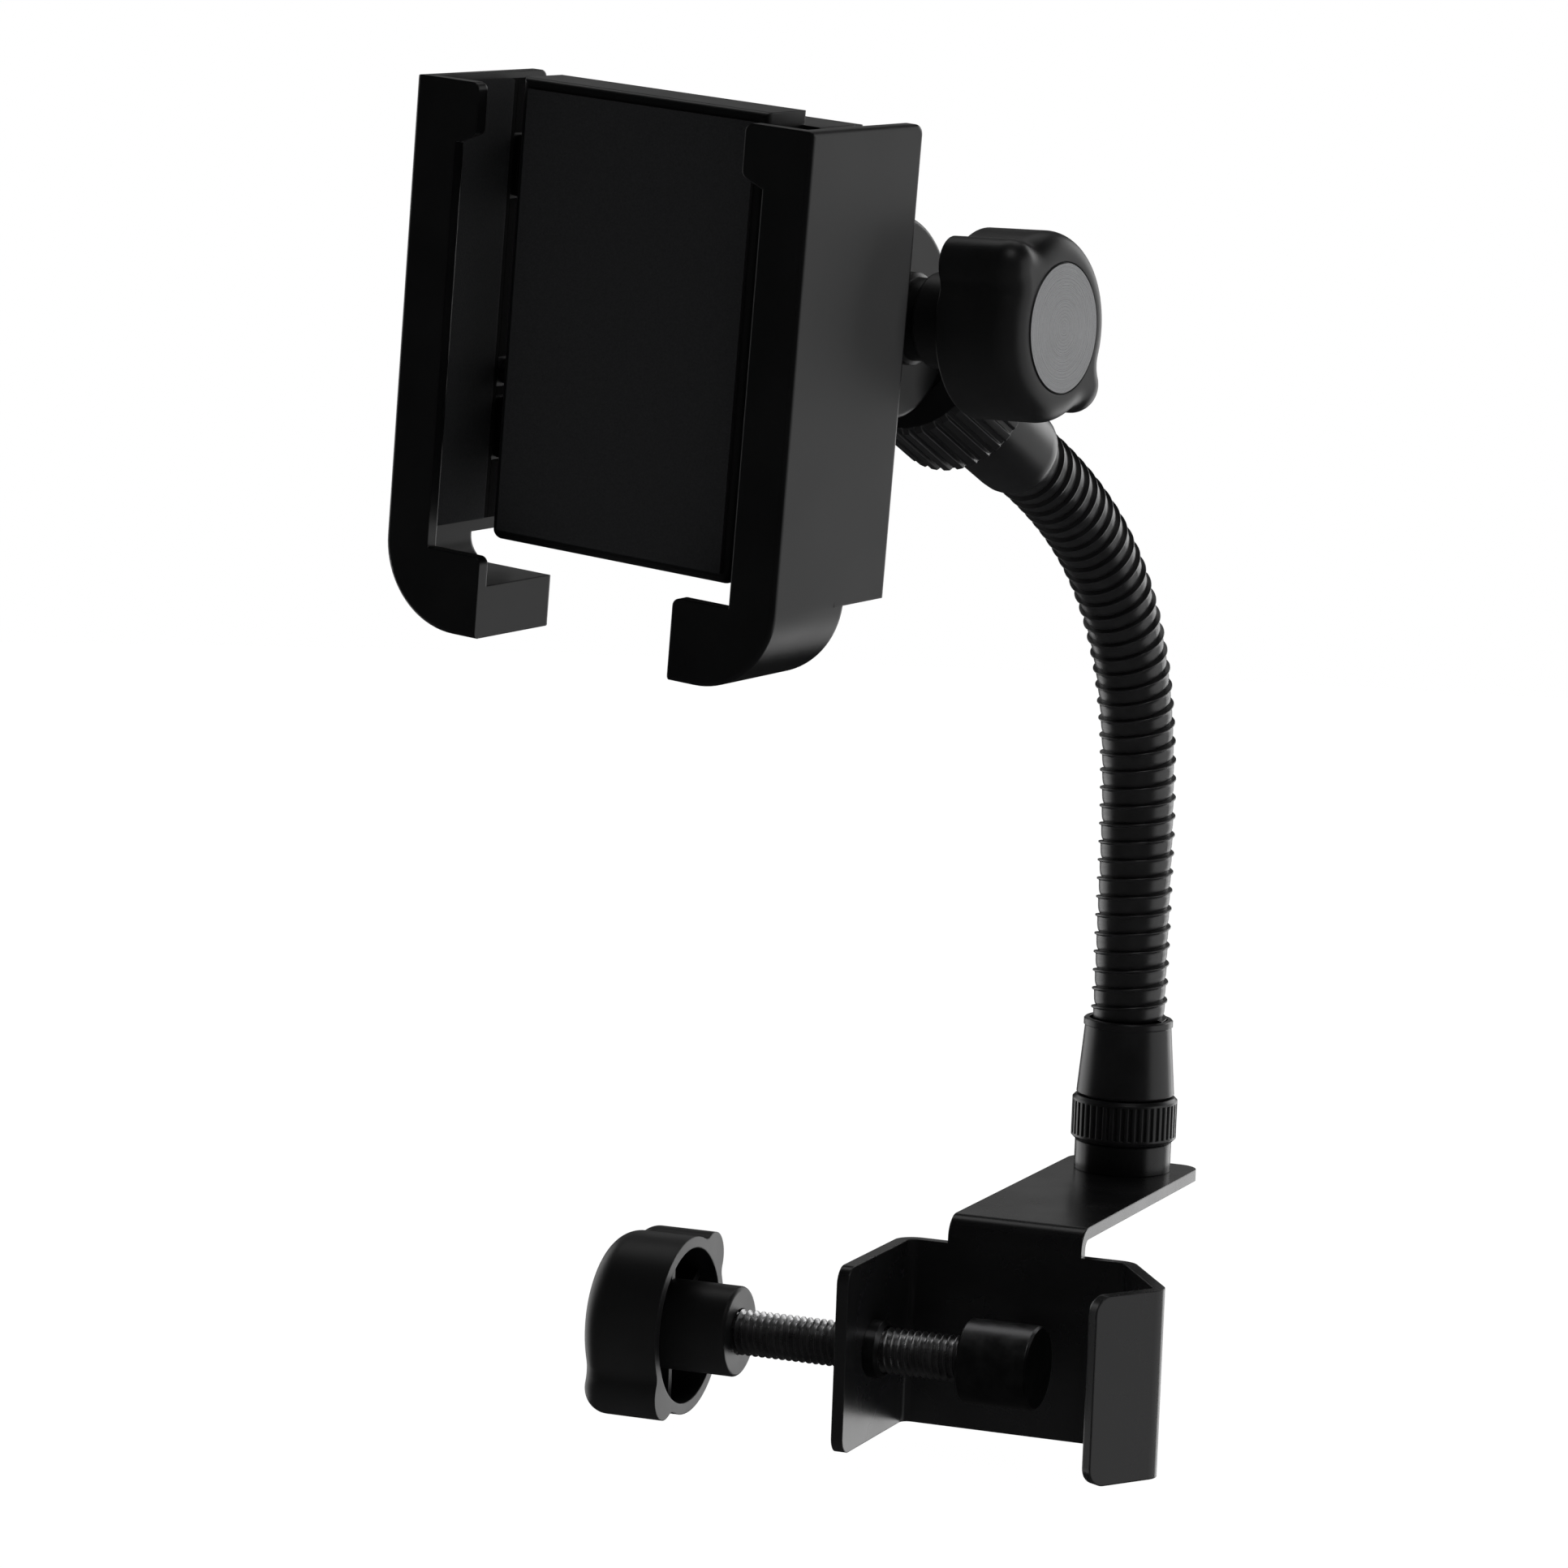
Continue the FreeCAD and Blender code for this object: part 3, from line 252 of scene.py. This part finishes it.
def spun_silver(label, middle, axis):
    """Spun metal disc: fine rings round its own axis."""
    made = Finish(label, 0.3, metal=1.0)
    turn = Vector(axis).to_track_quat("Z", "Y").to_matrix().to_4x4()
    local = (Matrix.Translation(Vector(middle)) @ turn).inverted()
    place = made.stretched((1, 1, 1), local.to_euler("XYZ"), local.to_translation())
    split = made.add("ShaderNodeSeparateXYZ")
    made.link(place, split.inputs["Vector"])
    flat = made.add("ShaderNodeCombineXYZ")
    made.link(split.outputs["X"], flat.inputs["X"])
    made.link(split.outputs["Y"], flat.inputs["Y"])
    reach = made.add("ShaderNodeVectorMath", operation="LENGTH")
    made.link(flat.outputs["Vector"], reach.inputs[0])
    along = made.add("ShaderNodeCombineXYZ")
    made.link(reach.outputs["Value"], along.inputs["X"])
    rings = made.noise(7000, 3, along.outputs["Vector"], 0.7)
    made.colour(rings, [(0.3, (0.2, 0.202, 0.207)), (0.7, (0.5, 0.504, 0.515))])
    made.rough(rings, 0.2, 0.38)
    made.bump(rings, 0.02 * MM, 0.6)
    return made.material


def spring_steel():
    """Drawn wire."""
    made = Finish("spring_steel", 0.35, metal=1.0)
    drawn = made.noise(900, 3)
    made.colour(drawn, [(0.3, (0.36, 0.36, 0.37)), (0.7, (0.5, 0.5, 0.51))])
    made.rough(drawn, 0.28, 0.42)
    return made.material


def middle_of(node):
    low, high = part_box(node)
    return (low + high) / 2


finishes = {
    "black_plastic": black_plastic(), "black_coat": black_coat(), "gloss_black": gloss_black(),
    "black_steel": black_steel(), "grey_foam": grey_foam("grey_foam", 0.0088, 0.0152),
    "spring_steel": spring_steel(),
}
strip_finish = wound_black()
thread_finish = thread_steel()
knob_finish = soft_plastic()
own = {
    "clamp_knob": knob_finish, "tilt_knob": knob_finish,
    "clamp_knob_disc": spun_silver(
        "silver_low", middle_of("clamp_knob_disc"), joints["screw_turn"]["axis"]),
    "tilt_knob_disc": spun_silver(
        "silver_high", middle_of("tilt_knob_disc"), joints["tilt_knob_turn"]["axis"]),
}


def coat(piece, material):
    piece.data.materials.clear()
    piece.data.materials.append(material)


for label, node in nodes_of.items():
    coat(node, own.get(label) or finishes[slot_of[label]])


def new_piece(label, points, faces, smooth=False):
    """Puts a mesh of these points and faces into the scene."""
    mesh = bpy.data.meshes.new(label)
    mesh.from_pydata(points, [], faces)
    if smooth:
        for face in mesh.polygons:
            face.use_smooth = True
        mesh.validate()
    piece = bpy.data.objects.new(label, mesh)
    bpy.context.scene.collection.objects.link(piece)
    return piece


def crisp(piece, degrees):
    """Keeps edges sharper than this angle sharp."""
    piece.data.set_sharp_from_angle(angle=math.radians(degrees))


# Strips wound on a helix
TRACE = 0.003


def held(value, low, high):
    """Keeps a value between two ends, with a trace of the overshoot so that no two points fall together."""
    kept = min(max(value, low), high)
    return kept + (value - kept) * TRACE


def wound(label, section, start, end, per_turn, spot):
    """Sweeps a closed section (out, along) round from one turn count to another; spot gives each point."""
    count = max(2, round((end - start) * per_turn))
    points = []
    for step in range(count + 1):
        turn = start + (end - start) * step / count
        points += [spot(turn, out, along) for out, along in section]
    size = len(section)
    faces = []
    for step in range(count):
        for side in range(size):
            near_side, far_side = step * size + side, step * size + (side + 1) % size
            faces.append((near_side, near_side + size, far_side + size, far_side))
    faces.append(tuple(range(size)))
    faces.append(tuple(reversed(range(count * size, (count + 1) * size))))
    piece = new_piece(label, points, faces)
    mesh = piece.data
    lay = mesh.uv_layers.new(name="lay")
    for face in mesh.polygons:
        for loop in face.loop_indices:
            index = mesh.loops[loop].vertex_index
            side = index % size
            lay.data[loop].uv = (start + (end - start) * (index // size) / count, side / size)
        face.use_smooth = len(face.vertices) == 4
    mesh.validate()
    return piece


# Neck: two turns of the strip on each length, laid along one smooth bend
count = sum(name.startswith("neck_") for name in nodes_of)
starts = [Vector(joints["neck_swivel"]["pos_m"])]
starts += [Vector(joints["neck_flex_%02d" % k]["pos_m"]) for k in range(2, count + 1)]
step = (starts[1] - starts[0]).length
turns_each = 2
pitch = step / turns_each
head_axis = Vector(joints["nut_turn"]["axis"]).normalized()
if head_axis.z < 0:
    head_axis = -head_axis
starts.append(starts[-1] + head_axis * step)
across = Vector(joints["neck_flex_02"]["axis"]).normalized()
aims = [(starts[k + 1] - starts[k]).normalized() for k in range(count)]
FINE = 24
line = [starts[0]]
for number in range(count * FINE):
    run = (number + 0.5) / FINE - 0.5
    low = min(max(math.floor(run), 0), count - 1)
    high = min(low + 1, count - 1)
    aim = aims[low].lerp(aims[high], min(max(run - low, 0), 1)).normalized()
    line.append(line[-1] + aim * step / FINE)
drift = starts[-1] - line[-1]
line = [point + drift * number / (count * FINE) for number, point in enumerate(line)]


def on_neck(turn, out, along):
    """A point of the wound strip: out from the middle line, along it from the strip's own edge."""
    run = held((turn * pitch + along) / step, seat_low / step, count - seat_high / step)
    index = min(int(run * FINE), count * FINE - 1)
    part = run * FINE - index
    aim = (line[index + 1] - line[index]).normalized()
    side = aim.cross(across)
    angle = 2 * math.pi * turn
    middle = line[index].lerp(line[index + 1], part)
    return middle + (across * math.cos(angle) + side * math.sin(angle)) * out


seat_low = 0.8 * MM
seat_high = 0.55 * MM
strip_sides = 64
strip = [(out * MM, along * MM) for out, along in (
    (6.9, -0.1), (7.3, -0.02), (7.46, 0.2), (7.62, 0.6), (7.72, 1.1), (7.78, 1.8), (7.8, 2.6), (7.82, 3.1),
    (7.9, 3.28), (8.08, 3.38), (8.24, 3.46), (8.3, 3.55), (8.3, 3.74), (8.24, 3.82), (8.05, 3.84),
    (7.6, 3.9), (7.3, 4.0), (7.15, 4.25), (6.72, 4.25))]
for number in range(1, count + 1):
    last_turn = turns_each * number
    piece = wound(
        "neck_strip_%02d" % number, strip, last_turn - turns_each, last_turn, strip_sides, on_neck)
    crisp(piece, 35)
    coat(piece, strip_finish)
    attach(piece, "neck_%02d" % number)
    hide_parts("neck_%02d" % number)

# Clamp screw: a cut thread on its shank, with a plain tip in the pad
screw_low, screw_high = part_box("clamp_screw")
shank_rad = (screw_high.z - screw_low.z) / 2
lead = 1.5 * MM
tip_long = 7.8 * MM
tip_rad = 3.5 * MM
tip_chamfer = 0.5 * MM
shank_end = screw_high.x - tip_long
thread_room = 0.01 * MM
screw_sides = 48


def on_screw(turn, out, along):
    x = held(screw_low.x + turn * lead + along, screw_low.x, shank_end - thread_room)
    angle = 2 * math.pi * turn
    return Vector((x, math.cos(angle) * out, math.sin(angle) * out))


cut = 0.92 * MM
root_rad = shank_rad - cut
sunk_rad = root_rad - 0.5 * MM
crest_rad = shank_rad - 0.06 * MM
thread = [
    (sunk_rad, 0.0), (root_rad, 0.0), (root_rad, 0.19 * MM), (crest_rad, 0.72 * MM), (shank_rad, 0.78 * MM),
    (shank_rad, 0.88 * MM), (crest_rad, 0.94 * MM), (root_rad, 1.48 * MM), (sunk_rad, 1.49 * MM)]
turns = math.floor((shank_end - screw_low.x) / lead)
screw = wound("screw_thread", thread, 0, turns, screw_sides, on_screw)


def lathe(label, outline, sides, place=None):
    """A closed turned form along X from (along, out) points that start and end on the axis."""
    points = [Vector((outline[0][0], 0, 0))]
    for along, out in outline[1:-1]:
        for side in range(sides):
            angle = 2 * math.pi * side / sides
            points.append(Vector((along, math.cos(angle) * out, math.sin(angle) * out)))
    points.append(Vector((outline[-1][0], 0, 0)))
    if place:
        points = [place @ point for point in points]
    faces = []
    rows = len(outline) - 2
    for side in range(sides):
        other = (side + 1) % sides
        faces.append((0, 1 + other, 1 + side))
        for row in range(rows - 1):
            near_row, far_row = 1 + row * sides, 1 + (row + 1) * sides
            faces.append((near_row + side, near_row + other, far_row + other, far_row + side))
        last = 1 + (rows - 1) * sides
        faces.append((last + side, last + other, len(points) - 1))
    return new_piece(label, points, faces, smooth=True)


core_rad = root_rad - 0.02 * MM
core = lathe("screw_core", [
    (screw_low.x, 0), (screw_low.x, core_rad), (shank_end, core_rad), (shank_end, tip_rad),
    (screw_high.x - tip_chamfer, tip_rad), (screw_high.x, tip_rad - tip_chamfer),
    (screw_high.x, 0)], screw_sides)
for piece in (screw, core):
    crisp(piece, 30)
    coat(piece, thread_finish)
    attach(piece, "clamp_screw")
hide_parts("clamp_screw")

# Upper ferrule and ribbed nut, at the sizes the photograph shows
head = Matrix.Translation(starts[-1]) @ head_axis.to_track_quat("X", "Z").to_matrix().to_4x4()
mouth = -0.45 * MM
cone_end = 26.0 * MM
ferrule_sides = 96
ferrule = lathe("ferrule_turned", [
    (mouth, 0), (mouth, 8.5 * MM), (mouth + 0.7 * MM, 9.0 * MM), (mouth + 2 * MM, 9.35 * MM),
    (mouth + 4 * MM, 9.5 * MM), (cone_end - 0.5 * MM, 9.7 * MM), (cone_end, 9.2 * MM),
    (cone_end, 0)], ferrule_sides, head)
crisp(ferrule, 35)
coat(ferrule, finishes["gloss_black"])
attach(ferrule, "neck_19")
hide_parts("upper_ferrule")

groove_floor = 0.5 * MM
groove_mouth = 0.8 * MM


def fluted(label, start, length, rad, deep, bore, flutes, place):
    """A ribbed sleeve along X: narrow grooves cut in its outside, chamfered ends and a plain bore."""
    low, high = groove_floor / rad, groove_mouth / rad
    share = 2 * math.pi / flutes
    round_of = []
    for flute in range(flutes):
        at = flute * share
        groove = [(at - high, rad), (at - low, rad - deep), (at, rad - deep), (at + low, rad - deep),
                  (at + high, rad)]
        land = [(at + high + (share - 2 * high) * part / 4, rad) for part in (1, 2, 3)]
        round_of += groove + land
    size = len(round_of)
    end = start + length
    rows = [(start, rad - deep), (start + deep, rad), (end - deep, rad), (end, rad - deep), (end, bore),
            (start, bore)]
    points = []
    for along, most in rows:
        for angle, out in round_of:
            reach = most if most == bore else min(out, most)
            points.append(place @ Vector((along, math.cos(angle) * reach, math.sin(angle) * reach)))
    faces = []
    for row in range(len(rows)):
        after = (row + 1) % len(rows)
        for spot in range(size):
            other = (spot + 1) % size
            faces.append((row * size + spot, row * size + other, after * size + other, after * size + spot))
    return new_piece(label, points, faces, smooth=True)


nut_start = cone_end + 0.2 * MM
nut_long = 20 * MM
nut_rad = 15.5 * MM
nut_deep = 1.0 * MM
nut_bore = 7.3 * MM
nut_flutes = 32
nut = fluted("nut_ribbed", nut_start, nut_long, nut_rad, nut_deep, nut_bore, nut_flutes, head)
crisp(nut, 25)
coat(nut, finishes["gloss_black"])
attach(nut, "ribbed_nut")
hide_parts("ribbed_nut")

# Jaw linings: the foam carried back towards the slide, then a black sheet of painted shade up to and between the
# slide arms
cradle_x = Vector(joints["right_jaw_slide"]["axis"]).normalized()
cradle_y = Vector(joints["cradle_swivel"]["axis"]).normalized()
if cradle_y.y < 0:
    cradle_y = -cradle_y
cradle_z = cradle_x.cross(cradle_y)
cradle_axes = Matrix((cradle_x, cradle_y, cradle_z))


def cradle_span(node):
    """The low and high corner of a node, measured along the cradle's own axes."""
    spots = [cradle_axes @ (node.matrix_world @ vertex.co) for vertex in node.data.vertices]
    return [Vector([pick(spot[k] for spot in spots) for k in range(3)]) for pick in (min, max)]


def slab(label, blocks, edge):
    """One or more blocks along the cradle's axes, each from a low to a high corner, with softened edges."""
    corners = []
    faces = []
    for low, high in blocks:
        first = len(corners)
        corners += [cradle_axes.transposed() @ Vector((x, y, z))
                    for x in (low.x, high.x) for y in (low.y, high.y) for z in (low.z, high.z)]
        faces += [tuple(first + spot for spot in face) for face in (
            (0, 1, 3, 2), (4, 6, 7, 5), (0, 4, 5, 1), (2, 3, 7, 6), (0, 2, 6, 4), (1, 5, 7, 3))]
    piece = new_piece(label, corners, faces)
    soft = piece.modifiers.new("edge", "BEVEL")
    soft.width = edge
    soft.segments = 3
    return piece


# The black sheet below is painted shade: it stands in for the shade of the gap behind each lining.
shade_sheet_finish = painted_shade_sheet()
# The linings take a paler copy of the pad's foam: painted light on the jaws' inner walls.
lit_lining_finish = grey_foam("lit_lining_foam", 0.0155, 0.0262)
foam_back = 3.4 * MM
foam_edge = 0.35 * MM
slide_gaps = [(12.0 * MM, 24.0 * MM), (26.7 * MM, 31.7 * MM), (64.0 * MM, 76.0 * MM)]
slide_room = 0.5 * MM
shade_sheet_deep = 7.0 * MM
shade_sheet_room = 0.3 * MM
shade_sheet_thick = 0.3 * MM
shade_sheet_gap = 0.1 * MM
shade_sheet_seam = 0.05 * MM
shade_sheet_edge = 0.08 * MM
for side in ("left", "right"):
    low, high = cradle_span(nodes_of[side + "_liner"])
    foam = slab(side + "_lining", [(low, Vector((high.x, high.y + foam_back, high.z)))], foam_edge)
    coat(foam, lit_lining_finish)
    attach(foam, side + "_jaw")
    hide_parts(side + "_liner")
    slide_front = cradle_span(nodes_of[side + "_spring"])[0].y
    wall = (low.x, low.x + shade_sheet_thick) if side == "left" else (high.x - shade_sheet_thick, high.x)
    shade_sheet_front = high.y + foam_back + shade_sheet_gap
    shade_sheet_end = slide_front - shade_sheet_room
    blocks = [(Vector((wall[0], shade_sheet_front, low.z)), Vector((wall[1], shade_sheet_end, high.z)))]
    edges = [low.z]
    for gap_low, gap_high in slide_gaps:
        edges += [low.z + gap_low - slide_room, low.z + gap_high + slide_room]
    edges.append(high.z)
    for lower, upper in zip(edges[::2], edges[1::2]):
        blocks.append((Vector((wall[0], shade_sheet_end + shade_sheet_seam, lower)),
                       Vector((wall[1], shade_sheet_end + shade_sheet_deep, upper))))
    # Black sheet of painted shade behind the lining and between the slide arms.
    shade_sheet = slab(side + "_felt", blocks, shade_sheet_edge)
    coat(shade_sheet, shade_sheet_finish)
    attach(shade_sheet, side + "_jaw")

# Camera at the photograph's angle
photo_wide = 1932
focal = 6997.5
view = bpy.data.cameras.new("camera")
view.sensor_fit = "HORIZONTAL"
view.sensor_width = 36
view.lens = view.sensor_width * focal / photo_wide
view.clip_start = 0.05
view.clip_end = 50
camera = bpy.data.objects.new("camera", view)
bpy.context.scene.collection.objects.link(camera)
ahead = Vector((-0.36166915, 0.92414653, -0.12307974))
right = Vector((0.92889354, 0.36847704, 0.03716808))
up = Vector((-0.07970081, 0.10088543, 0.99170052))
camera.matrix_world = Matrix.Translation((0.351226, -1.080331, 0.259562)) @ Matrix((
    (right.x, up.x, -ahead.x), (right.y, up.y, -ahead.y), (right.z, up.z, -ahead.z))).to_4x4()
bpy.context.scene.camera = camera

# Floor and light
low, high = cad_box
middle = (low + high) / 2
floor_rad = 1.6
floor_sides = 96
floor_drop = 2 * MM
floor_turns = [2 * math.pi * k / floor_sides for k in range(floor_sides)]
ring = [(math.cos(turn) * floor_rad, math.sin(turn) * floor_rad, 0) for turn in floor_turns]
floor = new_piece("floor", ring, [tuple(range(floor_sides))])
floor.location = (middle.x, middle.y, low.z - floor_drop)
pale = Finish("pale_floor", 0.7)
pale.colour(pale.noise(3, 2), [(0.3, (0.04, 0.04, 0.04)), (0.7, (0.045, 0.045, 0.045))])
pale.set(pale.shader, {"Emission Color": (1, 1, 1, 1), "Emission Strength": 1.0, "Specular IOR Level": 0.0})
coat(floor, pale.material)
floor.visible_glossy = False

ground_ahead = Vector((ahead.x, ahead.y, 0)).normalized()
ground_right = Vector((ahead.y, -ahead.x, 0)).normalized()


def softbox(label, turn, rise, far, wide, tall, power):
    """An area light round the object, turned right of straight behind it and raised, in degrees."""
    a, e = math.radians(turn), math.radians(rise)
    level = ground_ahead * math.cos(a) + ground_right * math.sin(a)
    out = level * math.cos(e) + Vector((0, 0, math.sin(e)))
    light = bpy.data.lights.new(label, "AREA")
    light.shape = "RECTANGLE"
    light.size, light.size_y = wide, tall
    light.energy = power
    lamp = bpy.data.objects.new(label, light)
    lamp.rotation_mode = "QUATERNION"
    lamp.location = middle + out * far
    lamp.rotation_quaternion = (-out).to_track_quat("-Z", "Y")
    lamp.visible_camera = False
    bpy.context.scene.collection.objects.link(lamp)


softbox("right_back", 40, 0, 1.7, 0.9, 1.9, 10.5)
softbox("right_side", 92, 0, 1.7, 1.8, 1.9, 7.5)
softbox("left_back", -40, 0, 1.7, 0.9, 1.9, 7)
softbox("left_side", -64, 0, 1.7, 0.6, 1.9, 3.4)
softbox("back_low", 0, 14, 1.7, 0.7, 0.5, 0.3)
softbox("back_top", 0, 58, 1.5, 1.2, 0.6, 1.7)
softbox("front_top", 162, 62, 1.6, 0.5, 0.5, 1.8)

fill = 0.014
backdrop = 1.0
world = bpy.data.worlds.new("studio")
world.use_nodes = True
bpy.context.scene.world = world
sky = world.node_tree
shade = sky.nodes["Background"]
seen = sky.nodes.new("ShaderNodeLightPath")
mix = sky.nodes.new("ShaderNodeMapRange")
mix.inputs["To Min"].default_value = fill
mix.inputs["To Max"].default_value = backdrop
sky.links.new(seen.outputs["Is Camera Ray"], mix.inputs["Value"])
sky.links.new(mix.outputs["Result"], shade.inputs["Strength"])
shade.inputs["Color"].default_value = (1, 1, 1, 1)
bpy.context.scene.view_settings.view_transform = "Standard"
